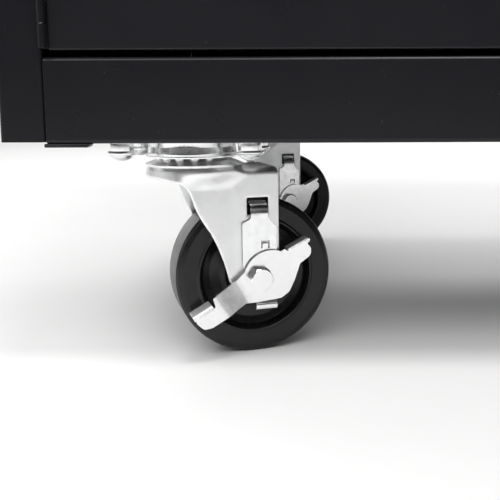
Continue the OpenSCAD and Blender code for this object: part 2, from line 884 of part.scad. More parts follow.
side_panel_left();
side_panel_right();
back_panel();
top_cap();
base_pan();
divider_panel();
caster_channels();
corner_gussets();
top_mat();
slide_channels();
drawer(0);  // drawer_1
drawer(1);  // drawer_2
drawer(2);  // drawer_3
drawer_pull(0);  // drawer_pull_1
drawer_pull(1);  // drawer_pull_2
drawer_pull(2);  // drawer_pull_3
drawer_runners(0);  // drawer_runners_1
drawer_runners(1);  // drawer_runners_2
drawer_runners(2);  // drawer_runners_3
door_left();
door_right();
door_pull_left();
door_pull_right();
hinge_frame_leaves();
hinge_leaf_left();
hinge_leaf_right();
hinge_pins();
door_catches();
door_lock_plug();
drawer_lock_barrel();
drawer_lock_plug();
shelf();
shelf_clips();
push_handle();
handle_brackets();
handle_screws();
caster_plates();
plate_bolts();
swivel_pins();
swivel_balls();
caster_fork(0);  // caster_fork_fl
caster_fork(1);  // caster_fork_fr
caster_fork(2);  // caster_fork_rl
caster_fork(3);  // caster_fork_rr
brake_spring(0);  // brake_spring_fl
brake_spring(1);  // brake_spring_fr
brake_spring(2);  // brake_spring_rl
brake_spring(3);  // brake_spring_rr
wheel_axle(0);  // wheel_axle_fl
wheel_axle(1);  // wheel_axle_fr
wheel_axle(2);  // wheel_axle_rl
wheel_axle(3);  // wheel_axle_rr
brake_lever(0);  // brake_lever_fl
brake_lever(1);  // brake_lever_fr
brake_lever(2);  // brake_lever_rl
brake_lever(3);  // brake_lever_rr
wheel(0);  // wheel_fl
wheel(1);  // wheel_fr
wheel(2);  // wheel_rl
wheel(3);  // wheel_rr
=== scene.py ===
"""Looks of the rolling tool chest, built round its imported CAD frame. Metres, +Z up."""
import json
import math

import bmesh
import bpy
import numpy as np
from mathutils import Matrix, Vector
from mathutils.geometry import tessellate_polygon


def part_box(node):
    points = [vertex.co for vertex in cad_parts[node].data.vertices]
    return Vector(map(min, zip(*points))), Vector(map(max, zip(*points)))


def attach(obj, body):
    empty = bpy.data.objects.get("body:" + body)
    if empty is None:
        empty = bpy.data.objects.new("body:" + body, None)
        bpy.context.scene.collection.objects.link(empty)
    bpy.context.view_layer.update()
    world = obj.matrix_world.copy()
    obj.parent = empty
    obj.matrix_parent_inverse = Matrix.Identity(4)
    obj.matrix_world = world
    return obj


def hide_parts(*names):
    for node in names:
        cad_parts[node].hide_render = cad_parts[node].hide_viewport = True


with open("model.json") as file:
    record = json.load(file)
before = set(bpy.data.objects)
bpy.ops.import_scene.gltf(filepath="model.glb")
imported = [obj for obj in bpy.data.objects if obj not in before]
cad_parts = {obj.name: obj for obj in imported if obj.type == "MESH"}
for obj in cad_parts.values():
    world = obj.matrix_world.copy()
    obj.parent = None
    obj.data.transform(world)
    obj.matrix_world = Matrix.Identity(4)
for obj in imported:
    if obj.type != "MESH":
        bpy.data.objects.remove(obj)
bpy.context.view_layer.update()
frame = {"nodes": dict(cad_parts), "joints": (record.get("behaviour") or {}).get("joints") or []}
MM = 0.001

# ---------------------------------------------------------------- casters' places
CORNERS = ("fl", "fr", "rl", "rr")
joints = {j["name"]: j for j in frame["joints"]}


def caster_place(corner):
    """(matrix from caster millimetres to the row frame, trail in mm, axle height in mm).
    In caster millimetres x runs from the swivel pin to the axle, y to the wheel's far side."""
    pivot = Vector(joints[f"caster_{corner}_swivel"]["pos_m"])
    axle = Vector(joints[f"wheel_{corner}_spin"]["pos_m"])
    away = axle - pivot
    turn = math.atan2(away.y, away.x)
    place = Matrix.Translation((pivot.x, pivot.y, 0)) @ Matrix.Rotation(turn, 4, "Z")
    trail = math.hypot(away.x, away.y) / MM
    return place @ Matrix.Scale(MM, 4), trail, axle.z / MM


PLACES = {c: caster_place(c) for c in CORNERS}
TRAIL = PLACES["fl"][1]
AXLE_Z = PLACES["fl"][2]
PLATE_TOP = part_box("caster_plates")[1].z / MM


# ---------------------------------------------------------------- node material helpers
class Nodes:
    """A short way to wire a procedural material."""

    def __init__(self, name, colour, metallic, roughness):
        self.mat = bpy.data.materials.new(name)
        self.mat.use_nodes = True
        self.tree = self.mat.node_tree
        self.shader = self.tree.nodes["Principled BSDF"]
        self.shader.inputs["Base Color"].default_value = (*colour, 1)
        self.shader.inputs["Metallic"].default_value = metallic
        self.shader.inputs["Roughness"].default_value = roughness
        self.coords = self.add("ShaderNodeTexCoord").outputs["Object"]

    def add(self, kind, **inputs):
        node = self.tree.nodes.new(kind)
        for key, value in inputs.items():
            self.put(node.inputs[key.replace("_", " ")], value)
        return node

    def put(self, socket, value):
        if isinstance(value, bpy.types.NodeSocket):
            self.tree.links.new(value, socket)
        else:
            socket.default_value = value

    def stretched(self, scale):
        mapping = self.add("ShaderNodeMapping", Vector=self.coords)
        mapping.inputs["Scale"].default_value = scale
        return mapping.outputs[0]

    def noise(self, scale, detail=3.0, rough=0.5, vector=None):
        node = self.add("ShaderNodeTexNoise", Vector=vector or self.coords, Scale=scale,
                        Detail=detail, Roughness=rough)
        return node.outputs["Fac"]

    def ramp(self, fac, stops):
        """stops: [(position, grey or colour)] from a factor to a colour."""
        node = self.add("ShaderNodeValToRGB", Fac=fac)
        elements = node.color_ramp.elements
        while len(elements) < len(stops):
            elements.new(0.5)
        for element, (position, value) in zip(elements, stops):
            element.position = position
            colour = value if isinstance(value, tuple) else (value, value, value)
            element.color = (*colour, 1)
        return node.outputs["Color"]

    def mix(self, fac, a, b):
        node = self.tree.nodes.new("ShaderNodeMix")
        node.data_type = "RGBA"
        self.put(node.inputs["Factor"], fac)
        for socket, value in ((node.inputs[6], a), (node.inputs[7], b)):
            self.put(socket, (*value, 1) if isinstance(value, tuple) else value)
        return node.outputs[2]

    def math(self, operation, a, b=0.0):
        node = self.tree.nodes.new("ShaderNodeMath")
        node.operation = operation
        self.put(node.inputs[0], a)
        self.put(node.inputs[1], b)
        return node.outputs[0]

    def convex_edges(self, low, high):
        """1 on sharp convex edges, from the mesh's pointiness."""
        geometry = self.add("ShaderNodeNewGeometry")
        return self.ramp(geometry.outputs["Pointiness"], [(low, 0.0), (high, 1.0)])

    def bump(self, height, strength, distance):
        node = self.add("ShaderNodeBump", Height=height, Strength=strength, Distance=distance)
        self.put(self.shader.inputs["Normal"], node.outputs[0])

    def set(self, **inputs):
        for key, value in inputs.items():
            self.put(self.shader.inputs[key.replace("_", " ")], value)
        return self.mat


def painted_steel():
    """Satin black powder coat: faint orange peel, a trace of dust, and a painted highlight that lightens
    the folds.
    """
    n = Nodes("satin_black_paint", (0.0100, 0.0095, 0.0112), 0.0, 0.40)
    broad = n.noise(7, 4, 0.6)
    tone = n.ramp(broad, [(0.3, (0.0046, 0.0042, 0.0064)), (0.75, (0.0060, 0.0056, 0.0080))])
    # painted highlight: sharp folds and edges are lightened in the colour itself, standing in for the
    # light they catch
    edges = n.convex_edges(0.52, 0.62)
    fine = n.noise(900, 2, 0.5)
    specks = n.ramp(n.noise(420, 1, 0.5), [(0.78, 0.0), (0.82, 1.0)])
    dusty = n.mix(n.math("MULTIPLY", specks, 0.10), tone, (0.30, 0.30, 0.30))
    # the painted highlight: the paint on folds and edges is mixed towards a lighter grey
    colour = n.mix(n.math("MULTIPLY", edges, 0.35), dusty, (0.055, 0.053, 0.058))
    rough = n.ramp(n.noise(35, 3, 0.6), [(0.2, 0.26), (0.8, 0.33)])
    n.bump(fine, 0.10, 0.0002)
    return n.set(Base_Color=colour, Roughness=rough, Specular_IOR_Level=0.25)


def bright_zinc():
    """Tumbled bright zinc plate: near white, fine grain, cloudy passivation."""
    n = Nodes("bright_zinc", (0.95, 0.955, 0.96), 1.0, 0.22)
    cloud = n.noise(70, 5, 0.62)
    tone = n.ramp(cloud, [(0.25, (0.88, 0.885, 0.895)), (0.7, (0.985, 0.985, 0.99))])
    edges = n.convex_edges(0.53, 0.64)
    colour = n.mix(n.math("MULTIPLY", edges, 0.5), tone, (0.97, 0.97, 0.97))
    grain = n.noise(1600, 3, 0.6)
    pits = n.noise(520, 2, 0.5)
    rough = n.ramp(n.noise(240, 4, 0.65), [(0.25, 0.16), (0.8, 0.30)])
    n.bump(n.mix(0.45, grain, pits), 0.08, 0.0003)
    return n.set(Base_Color=colour, Roughness=rough)


def satin_zinc():
    """The drawn fork: duller than the small parts, with faint drawing streaks and clouds."""
    n = Nodes("satin_zinc", (0.80, 0.81, 0.82), 1.0, 0.34)
    cloud = n.noise(45, 5, 0.6)
    tone = n.ramp(cloud, [(0.25, (0.90, 0.905, 0.915)), (0.75, (1.0, 1.0, 1.0))])
    streaks = n.noise(160, 3, 0.6, n.stretched((1, 1, 0.12)))
    colour = n.mix(n.math("MULTIPLY", streaks, 0.18), tone, (0.74, 0.75, 0.77))
    rough = n.ramp(n.noise(240, 4, 0.65), [(0.25, 0.30), (0.8, 0.44)])
    n.bump(n.noise(1500, 3, 0.6), 0.08, 0.0003)
    return n.set(Base_Color=colour, Roughness=rough)


def matte_zinc():
    """The grit-blasted look of the lever's joggled bend."""
    n = Nodes("matte_zinc", (0.80, 0.80, 0.81), 1.0, 0.5)
    tone = n.ramp(n.noise(300, 5, 0.7), [(0.35, (0.86, 0.86, 0.87)), (0.65, (1.0, 1.0, 1.0))])
    n.bump(n.noise(1500, 3, 0.7), 0.35, 0.0005)
    rough = n.ramp(n.noise(900, 2, 0.5), [(0.2, 0.42), (0.8, 0.6)])
    return n.set(Base_Color=tone, Roughness=rough)


def hard_rubber():
    """Moulded black wheel rubber with a faintly uneven tone and scuffs."""
    grey = 0.006
    n = Nodes("hard_rubber", (grey, grey, grey * 1.05), 0.0, 0.42)
    tone = n.ramp(n.noise(60, 5, 0.65), [
        (0.3, (grey * 0.8, grey * 0.8, grey * 0.85)), (0.75, (grey * 1.5, grey * 1.5, grey * 1.55))])
    scuffs = n.ramp(n.noise(400, 3, 0.6, n.stretched((1, 1, 0.25))), [(0.70, 0.0), (0.80, 1.0)])
    colour = n.mix(n.math("MULTIPLY", scuffs, 0.10), tone, (0.16, 0.16, 0.16))
    rough = n.ramp(n.noise(150, 3, 0.6), [(0.2, 0.24), (0.8, 0.36)])
    n.bump(n.noise(1400, 2, 0.5), 0.06, 0.0002)
    return n.set(Base_Color=colour, Roughness=rough, Specular_IOR_Level=0.4)


def ribbed_mat():
    n = Nodes("ribbed_mat", (0.022, 0.022, 0.023), 0.0, 0.7)
    tone = n.ramp(n.noise(40, 5, 0.6), [(0.3, 0.018), (0.8, 0.034)])
    wave = n.add("ShaderNodeTexWave", Vector=n.coords, Scale=55.0)
    wave.bands_direction = "Y"
    n.bump(wave.outputs["Fac"], 0.5, 0.0012)
    rough = n.ramp(n.noise(300, 3, 0.6), [(0.2, 0.6), (0.8, 0.8)])
    return n.set(Base_Color=tone, Roughness=rough)


def brushed_aluminium():
    n = Nodes("brushed_aluminium", (0.62, 0.63, 0.65), 1.0, 0.32)
    lines = n.noise(60, 4, 0.7, n.stretched((1, 60, 60)))
    tone = n.ramp(lines, [(0.25, (0.50, 0.51, 0.53)), (0.75, (0.70, 0.71, 0.72))])
    rough = n.ramp(lines, [(0.2, 0.26), (0.8, 0.40)])
    n.bump(lines, 0.06, 0.0002)
    return n.set(Base_Color=tone, Roughness=rough, Anisotropic=0.4)


def chrome_plate():
    n = Nodes("chrome_plate", (0.80, 0.81, 0.82), 1.0, 0.08)
    tone = n.ramp(n.noise(30, 3, 0.5), [(0.3, (0.76, 0.77, 0.79)), (0.8, (0.86, 0.86, 0.87))])
    rough = n.ramp(n.noise(120, 4, 0.65), [(0.3, 0.05), (0.85, 0.16)])
    n.bump(n.noise(700, 2, 0.5), 0.02, 0.0002)
    return n.set(Base_Color=tone, Roughness=rough)


def moulded_plastic():
    n = Nodes("moulded_plastic", (0.03, 0.03, 0.032), 0.0, 0.5)
    tone = n.ramp(n.noise(80, 4, 0.6), [(0.3, 0.025), (0.8, 0.042)])
    n.bump(n.noise(1200, 2, 0.5), 0.15, 0.0002)
    rough = n.ramp(n.noise(200, 3, 0.6), [(0.2, 0.45), (0.8, 0.6)])
    return n.set(Base_Color=tone, Roughness=rough)


PAINT = painted_steel()
ZINC = bright_zinc()
SATIN_ZINC = satin_zinc()
MATTE_ZINC = matte_zinc()
RUBBER = hard_rubber()
MAT = ribbed_mat()
ALUMINIUM = brushed_aluminium()
CHROME = chrome_plate()
PLASTIC = moulded_plastic()


# ---------------------------------------------------------------- mesh helpers
def new_object(name, verts, faces, material, smooth_angle=35):
    mesh = bpy.data.meshes.new(name)
    mesh.from_pydata([tuple(v) for v in verts], [], [tuple(f) for f in faces])
    return finish_mesh(name, mesh, material, smooth_angle)


def finish_mesh(name, mesh, material, smooth_angle=35):
    mesh.validate()
    bm = bmesh.new()
    bm.from_mesh(mesh)
    bmesh.ops.recalc_face_normals(bm, faces=bm.faces)
    bm.to_mesh(mesh)
    bm.free()
    mesh.shade_smooth()
    mesh.set_sharp_from_angle(angle=math.radians(smooth_angle))
    mesh.materials.append(material)
    obj = bpy.data.objects.new(name, mesh)
    bpy.context.scene.collection.objects.link(obj)
    return obj


def copies(obj, name, matrices):
    """One object holding obj's mesh at every matrix. obj itself is removed."""
    bm = bmesh.new()
    for matrix in matrices:
        part = obj.data.copy()
        part.transform(matrix)
        bm.from_mesh(part)
        bpy.data.meshes.remove(part)
    mesh = bpy.data.meshes.new(name)
    bm.to_mesh(mesh)
    bm.free()
    for material in obj.data.materials:
        mesh.materials.append(material)
    made = bpy.data.objects.new(name, mesh)
    bpy.context.scene.collection.objects.link(made)
    bpy.data.objects.remove(obj)
    return made


def bevel(obj, width, segments=3, angle=40):
    """Rounds the edges. The imported nodes have split corners, which are welded first."""
    weld = obj.modifiers.new("weld", "WELD")
    weld.merge_threshold = 1e-6
    mod = obj.modifiers.new("bevel", "BEVEL")
    mod.width = width
    mod.segments = segments
    mod.limit_method = "ANGLE"
    mod.angle_limit = math.radians(angle)
    mod.use_clamp_overlap = True
    mod.face_strength_mode = "FSTR_ALL"
    normals = obj.modifiers.new("normals", "WEIGHTED_NORMAL")
    normals.keep_sharp = False
    normals.use_face_influence = True


def rounded(points, steps=5):
    """A path whose corners are rounded. points: [(x, y, radius)]; the ends stay as they are."""
    out = []
    last = len(points) - 1
    for i, (x, y, r) in enumerate(points):
        p = Vector((x, y))
        if i in (0, last) or r <= 0:
            out.append(p)
            continue
        out.extend(corner_arc(Vector(points[i - 1][:2]), p, Vector(points[i + 1][:2]), r, steps))
    return out


def closed_rounded(points, steps=5):
    """As rounded, for a closed outline."""
    out = []
    n = len(points)
    for i, (x, y, r) in enumerate(points):
        p = Vector((x, y))
        before, after = Vector(points[i - 1][:2]), Vector(points[(i + 1) % n][:2])
        out.extend([p] if r <= 0 else corner_arc(before, p, after, r, steps))
    return out


def corner_arc(before, p, after, r, steps):
    a = (before - p).normalized()
    b = (after - p).normalized()
    half = math.acos(max(-1, min(1, a.dot(b)))) / 2
    back = min(r / math.tan(half), 0.49 * min((before - p).length, (after - p).length))
    r = back * math.tan(half)
    centre = p + (a + b).normalized() * (r / math.sin(half))
    start, end = p + a * back - centre, p + b * back - centre
    sweep = math.atan2(start.x * end.y - start.y * end.x, start.dot(end))
    turned = []
    for k in range(steps + 1):
        s, c = math.sin(sweep * k / steps), math.cos(sweep * k / steps)
        turned.append(centre + Vector((start.x * c - start.y * s, start.x * s + start.y * c)))
    return turned


def circle_path(x, y, r, n=28):
    return [(x + r * math.cos(a), y + r * math.sin(a)) for a in np.linspace(0, 2 * math.pi, n + 1)[:-1]]


def lathe(name, profile, material, segments=160, smooth_angle=35):
    """Turns a closed (radius, height) profile round Z."""
    verts, faces = [], []
    n = len(profile)
    for k in range(segments):
        a = 2 * math.pi * k / segments
        verts.extend((p[0] * math.cos(a), p[0] * math.sin(a), p[1]) for p in profile)
    for k in range(segments):
        here, there = k * n, (k + 1) % segments * n
        for i in range(n):
            j = (i + 1) % n
            faces.append((here + i, there + i, there + j, here + j))
    obj = new_object(name, verts, faces, material, smooth_angle)
    bm = bmesh.new()
    bm.from_mesh(obj.data)
    bmesh.ops.remove_doubles(bm, verts=bm.verts, dist=1e-5)
    bmesh.ops.dissolve_degenerate(bm, edges=bm.edges, dist=1e-5)
    bm.to_mesh(obj.data)
    bm.free()
    return obj


ON_AXIS = 0.001  # a lathe profile's radius where it meets its axis
ACROSS = Matrix.Rotation(math.radians(-90), 4, "X")  # a lathe's +Z to the wheel's far side


# ---------------------------------------------------------------- wheels
def wheel_profile():
    """Hub, dished web, lip, flat ring, bevel and tread, in mm about the wheel's middle."""
    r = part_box("wheel_fl")[1].z / MM / 2
    bore = 6.1
    side = rounded([
        (bore, 16.4, 0), (15.4, 16.4, 0.8), (17.5, 14.8, 1.2), (18.6, 10.4, 2.0), (22.0, 9.0, 3.0),
        (28.5, 8.6, 3.0), (33.2, 10.0, 2.0), (34.4, 13.4, 1.0), (35.5, 15.9, 0.8), (36.7, 15.9, 0.8),
        (37.5, 15.2, 0.5), (45.6, 15.2, 1.2), (48.6, 14.3, 1.4), (r, 12.4, 1.2), (r + 0.001, 0, 0)], 6)
    near = [(p.x, p.y) for p in side]
    far = [(x, -y) for x, y in reversed(near[:-1])]
    return near + far


def make_wheels():
    profile = wheel_profile()
    for corner in CORNERS:
        place, trail, axle_z = PLACES[corner]
        obj = lathe(f"rubber_wheel_{corner}", profile, RUBBER, 192)
        obj.data.transform(place @ Matrix.Translation((trail, 0, axle_z)) @ ACROSS)
        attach(obj, f"wheel_{corner}")
        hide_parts(f"wheel_{corner}")


# ---------------------------------------------------------------- fork, from a distance field
WEB_Z, CROWN_Z = 122.6, 124.0
SHEET_T, LEG_V, NOSE_R, LEG_R = 2.5, 21.0, 28.2, 14.1
WINDOW = ((29.0, -30, 89.0), (42.6, -10, 99.6))  # low and high corner of the near leg's window
AXLE_HOLE_R, KINGPIN_HOLE_R = 4.1, 6.1


def bezier(a, b, c, n=10):
    a, b, c = Vector(a), Vector(b), Vector(c)
    return [a.lerp(b, k / n).lerp(b.lerp(c, k / n), k / n) for k in range(n + 1)]


def fork_outline():
    """The fork's trimmed edge in (x, z): the hood's rim, down the leg, round the axle and up."""
    rim = bezier((-30, 113.1), (-20, 112.4), (-12.8, 110))
    neck = bezier((-12.4, 109.8), (-7.0, 107.2), (-4.2, 97.5))
    sweep = bezier((-4.0, 96.8), (-1.4, 89.4), (5.7, 78.9))
    sweep += bezier((6.0, 78.3), (12.9, 66), (17.2, 47.5))
    foot = [Vector((TRAIL + LEG_R * math.cos(a), AXLE_Z + LEG_R * math.sin(a)))
            for a in np.radians(np.linspace(205, 360, 14))]
    corner = bezier((TRAIL + LEG_R, 113.5), (TRAIL + LEG_R, 120.6), (TRAIL + LEG_R - 8, 122))
    return [Vector((-40, 130)), Vector((-40, 113.3))] + rim + neck + sweep + foot + corner + [
        Vector((TRAIL, 130))]


def polygon_distance(outline, x, y):
    """Signed distance from points to a closed outline, negative inside."""
    px = np.array([p.x for p in outline])
    py = np.array([p.y for p in outline])
    best = np.full(x.shape, 1e9)
    sign = np.ones(x.shape)
    for i in range(len(outline)):
        ax, ay, bx, by = px[i], py[i], px[i - 1], py[i - 1]
        ex, ey, wx, wy = bx - ax, by - ay, x - ax, y - ay
        t = np.clip((wx * ex + wy * ey) / (ex * ex + ey * ey + 1e-12), 0, 1)
        best = np.minimum(best, (wx - ex * t) ** 2 + (wy - ey * t) ** 2)
        above, below, turn = y >= ay, y < by, ex * wy > ey * wx
        flip = (above & below & turn) | (~above & ~below & ~turn)
        sign = np.where(flip, -sign, sign)
    return sign * np.sqrt(best)


def soft_min(a, b, k):
    h = np.maximum(k - np.abs(a - b), 0) / k
    return np.minimum(a, b) - h * h * k / 4


def soft_max(a, b, k):
    return -soft_min(-a, -b, k)


def round_max(a, b, r):
    """The corner between two faces, rounded to radius r."""
    outside = np.hypot(np.maximum(a + r, 0), np.maximum(b + r, 0)) - r
    return np.maximum(outside, np.minimum(np.maximum(a, b), 0)) if r > 0 else np.maximum(a, b)


def box_distance(x, y, z, low, high):
    return np.maximum.reduce([low[0] - x, x - high[0], low[1] - y, y - high[1],
                              low[2] - z, z - high[2]])


def smooth_step(t):
    t = np.clip(t, 0, 1)
    return t * t * (3 - 2 * t)


def fork_distance(x, y, z):
    """Signed distance to the pressed fork, in caster millimetres."""
    radius = np.hypot(x, y)
    # the hood bulges out of the legs, and fades into them below its rim
    fade = smooth_step((116.5 - z) / 11) * smooth_step((x + 15) / 17)
    draft = 0.11 * np.clip(WEB_Z - z, 0, 12)
    nose = round_max(radius - (NOSE_R + draft - 8.5 * fade), z - WEB_Z, 5.8)
    shoulder_z = WEB_Z - 4.2 * smooth_step((x - 17) / 10)
    side = round_max(np.abs(y) - LEG_V, -14 - x, 14.0)
    slab = round_max(side, z - shoulder_z, 4.5)
    solid = soft_min(nose, slab, 9.0)
    shell = soft_max(solid, -(solid + SHEET_T), 0.5)
    outline = polygon_distance(fork_outline(), x[:, :1, :], z[:, :1, :])
    shell = soft_max(shell, outline, 0.8)
    crown = np.maximum(z - CROWN_Z, (radius - 20.0 - 3 * (CROWN_Z - z)) * 0.316)
    crown = np.maximum(crown, WEB_Z - SHEET_T + 0.4 - z)
    body = soft_min(shell, crown, 1.6)
    window = box_distance(x, y, z, *WINDOW)
    body = soft_max(body, -window, 0.7)
    body = soft_max(body, -(np.hypot(x - TRAIL, z - AXLE_Z) - AXLE_HOLE_R), 0.4)
    return soft_max(body, -(radius - KINGPIN_HOLE_R), 0.4)


def surface_net(distance, low, high, step):
    """Vertices and quads of a distance field's zero surface."""
    axes = [np.arange(a, b + step, step) for a, b in zip(low, high)]
    x, y, z = np.meshgrid(*axes, indexing="ij")
    d = distance(x, y, z)
    inside = d < 0
    shape = tuple(n - 1 for n in d.shape)
    total = np.zeros((*shape, 3))
    count = np.zeros(shape)

    def corner(array, o):
        return array[o[0]:o[0] + shape[0], o[1]:o[1] + shape[1], o[2]:o[2] + shape[2]]

    for axis in range(3):
        for a in (0, 1):
            for b in (0, 1):
                o = [a, b]
                o.insert(axis, 0)
                q = list(o)
                q[axis] = 1
                d0, d1 = corner(d, o), corner(d, q)
                cross = (d0 < 0) != (d1 < 0)
                t = np.where(cross, d0 / np.where(cross, d0 - d1, 1), 0)
                for k in range(3):
                    offset = t if k == axis else float(o[k])
                    total[..., k] += np.where(cross, offset, 0)
                count += cross
    used = count > 0
    index = np.full(shape, -1)
    index[used] = np.arange(used.sum())
    cells = np.argwhere(used)
    verts = np.array(low) + (cells + total[used] / count[used][:, None]) * step
    faces = []
    for axis in range(3):
        n0 = [slice(1, -1)] * 3
        n0[axis] = slice(0, -1)
        n1 = list(n0)
        n1[axis] = slice(1, None)
        first, second = inside[tuple(n0)], inside[tuple(n1)]
        hits = np.argwhere(first != second)
        starts = first[tuple(hits.T)]
        base = hits + 1
        base[:, axis] = hits[:, axis]
        b, c = [k for k in range(3) if k != axis]
        ring = []
        for db, dc in ((-1, -1), (0, -1), (0, 0), (-1, 0)):
            q = base.copy()
            q[:, b] += db
            q[:, c] += dc
            ring.append(index[tuple(q.T)])
        quads = np.stack(ring, 1)
        turn = starts if axis != 1 else ~starts
        quads[~turn] = quads[~turn][:, ::-1]
        faces.append(quads)
    return verts, np.concatenate(faces)


def make_forks():
    step = 0.7
    verts, faces = surface_net(
        fork_distance, (-35, -34, AXLE_Z - LEG_R - 2.5), (TRAIL + LEG_R + 2.5, 34, 126), step)
    for corner in CORNERS:
        obj = new_object(f"pressed_fork_{corner}", verts, faces.tolist(), SATIN_ZINC, 50)
        obj.data.transform(PLACES[corner][0])
        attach(obj, f"caster_{corner}")
        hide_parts(f"caster_fork_{corner}")


# ---------------------------------------------------------------- flat sheet parts with bends
def sheet_mesh(outline, thickness, shape, cuts, holes=()):
    """A bmesh of a flat outline in (x, z), cut into strips, thickened towards -y and bent.
    shape maps (x, depth, z) to a point, where depth runs from 0 on the wheel's side to
    thickness on the outside. cuts: [(point, direction)] lines at which it is divided."""
    bm = bmesh.new()
    loops = [[Vector((p[0], p[1], 0)) for p in loop] for loop in (outline, *holes)]
    verts = [bm.verts.new((p.x, 0, p.y)) for loop in loops for p in loop]
    for triangle in tessellate_polygon(loops):
        bm.faces.new([verts[k] for k in triangle])
    for (px, pz), (nx, nz) in cuts:
        geometry = bm.verts[:] + bm.edges[:] + bm.faces[:]
        bmesh.ops.bisect_plane(bm, geom=geometry, plane_co=(px, 0, pz), plane_no=(nx, 0, nz), dist=1e-4)
    bmesh.ops.recalc_face_normals(bm, faces=bm.faces)
    top = bmesh.ops.extrude_face_region(bm, geom=bm.faces[:])
    for v in [g for g in top["geom"] if isinstance(g, bmesh.types.BMVert)]:
        v.co.y = -thickness
    bmesh.ops.recalc_face_normals(bm, faces=bm.faces)
    for v in bm.verts:
        v.co = shape(v.co.x, -v.co.y, v.co.z)
    return bm


def sheet_object(name, bm, material, matrix, edge=0.28):
    mesh = bpy.data.meshes.new(name)
    bm.to_mesh(mesh)
    bm.free()
    obj = finish_mesh(name, mesh, material, 38)
    obj.data.transform(matrix)
    mod = obj.modifiers.new("bevel", "BEVEL")
    mod.width = edge * MM
    mod.segments = 3
    mod.limit_method = "ANGLE"
    mod.angle_limit = math.radians(38)
    return obj


LEVER_V, LEVER_T = 24.1, 1.8
JOGGLE = 8.0
JOGGLE_FROM, JOGGLE_TO = 15.2, 28.6
ARM_TILT = math.radians(32)


def lever_path():
    """Outline of the lever about the axle, in (x, z) mm: the lower pedal with the relief cut
    beside its flange, the arm, the round body, and the upper pedal with its pointed tip."""
    body_x, body_z, body_r = 7.5, -0.8, 17.7
    arc = [(body_x + body_r * math.cos(a), body_z + body_r * math.sin(a), 0)
           for a in np.radians(np.linspace(164, 68, 13))]
    left = [(-43.4, -20.4, 0.4), (-31.3, -13.8, 0.2), (-30.7, -14.7, 0.2), (-29.8, -14.1, 0.2),
            (-31.2, -8.8, 0.6), (-28.6, -7.4, 2.0), (-20.4, -3.6, 8.0), (-14.6, -0.6, 4.0)]
    right = [
        (14.6, 16.3, 0.6), (15.9, 17.0, 0.4), (18.0, 15.6, 0.4), (32.5, 22.8, 0.3), (32.8, 22.0, 0.3),
        (30.8, 19.6, 0.8), (33.4, 16.6, 2.0), (33.3, 13.2, 2.4), (31.8, 11.0, 2.0), (26.0, 7.2, 2.6),
        (24.4, 2.4, 5.0), (22.2, -3.5, 8.0), (18.8, -10.3, 6.0), (13.6, -13.9, 4.0), (-3.0, -15.4, 4.0),
        (-9.4, -15.4, 3.0), (-16.0, -18.2, 5.0), (-24.3, -22.5, 8.0), (-32.0, -26.7, 4.0),
        (-37.0, -27.3, 3.0), (-41.0, -23.6, 2.0), (-42.0, -21.3, 0.4)]
    return closed_rounded(left + arc + right, 4)


def arm_reach(x, z):
    return x * math.cos(ARM_TILT) + z * math.sin(ARM_TILT)


def joggle_depth(x, z):
    """Straight in the middle, rounded where it leaves and where it ends."""
    ends = 0.18
    t = (-arm_reach(x, z) - JOGGLE_FROM) / (JOGGLE_TO - JOGGLE_FROM)
    rise = 0.5 * (math.hypot(t, ends) - math.hypot(t - 1, ends))
    full = 0.5 * (math.hypot(3, ends) - math.hypot(2, ends))
    return JOGGLE * (0.5 + 0.5 * rise / full)


def flange_strip(start, end, depth, outer_v):
    """A flange along the line start-end, turned in towards the wheel with a small radius."""
    t, lift, fold = LEVER_T, -1.9, 1.6
    flat, wall = 1.4, 1.5
    sunk = 0.04  # clear of the plate's own face
    section = [(0.0, sunk), (flat, sunk)]
    section += [(flat + fold * math.sin(a), sunk + fold * (1 - math.cos(a)))
                for a in np.radians((18, 36, 54, 72, 90))]
    section += [(flat + fold, depth), (flat + fold - wall, depth), (flat + fold - wall, t), (0.0, t)]
    a, b = Vector(start), Vector(end)
    along = (b - a).normalized()
    up = Vector((-along.y, along.x))
    bm = bmesh.new()
    rings = []
    for base in (a, b):
        points = [(base + up * (rise + lift), inward) for rise, inward in section]
        rings.append([bm.verts.new((p.x, inward - outer_v, p.y)) for p, inward in points])
    for i in range(len(section)):
        j = (i + 1) % len(section)
        bm.faces.new((rings[0][i], rings[1][i], rings[1][j], rings[0][j]))
    bm.faces.new(rings[0])
    bm.faces.new(list(reversed(rings[1])))
    return bm


def make_levers():
    outer = LEVER_V + LEVER_T

    def shape(x, depth, z):
        return Vector((x, -LEVER_V - depth - joggle_depth(x, z), z))

    across = (math.cos(ARM_TILT), math.sin(ARM_TILT))
    cuts = [((-s * across[0], -s * across[1]), across)
            for s in np.linspace(JOGGLE_FROM - 4, JOGGLE_TO + 4, 30)]
    for corner in CORNERS:
        place, trail, axle_z = PLACES[corner]
        matrix = place @ Matrix.Translation((trail, 0, axle_z))
        bm = sheet_mesh(lever_path(), LEVER_T, shape, cuts, [circle_path(0, 0, 4.1)])
        obj = sheet_object(f"brake_pedal_{corner}", bm, ZINC, matrix)
        obj.data.materials.append(MATTE_ZINC)
        inverse = matrix.inverted()
        for face in obj.data.polygons:
            c = inverse @ face.center
            if JOGGLE_FROM < -arm_reach(c.x, c.z) < JOGGLE_TO:
                face.material_index = 1
        flanges = (
            ((18.6, 15.9), (32.0, 22.5), 8.5, outer, "upper"),
            ((-43.3, -20.3), (-31.4, -13.8), 12.5, outer + JOGGLE, "lower"))
        parts = [obj]
        for start, end, depth, v, side in flanges:
            strip = flange_strip(start, end, depth, v)
            parts.append(sheet_object(f"brake_{side}_flange_{corner}", strip, MATTE_ZINC, matrix, 0.2))
        for part in parts:
            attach(part, f"brake_lever_{corner}")
            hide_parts(f"brake_lever_{corner}")


SPRING_V, SPRING_T = 22.1, 1.4


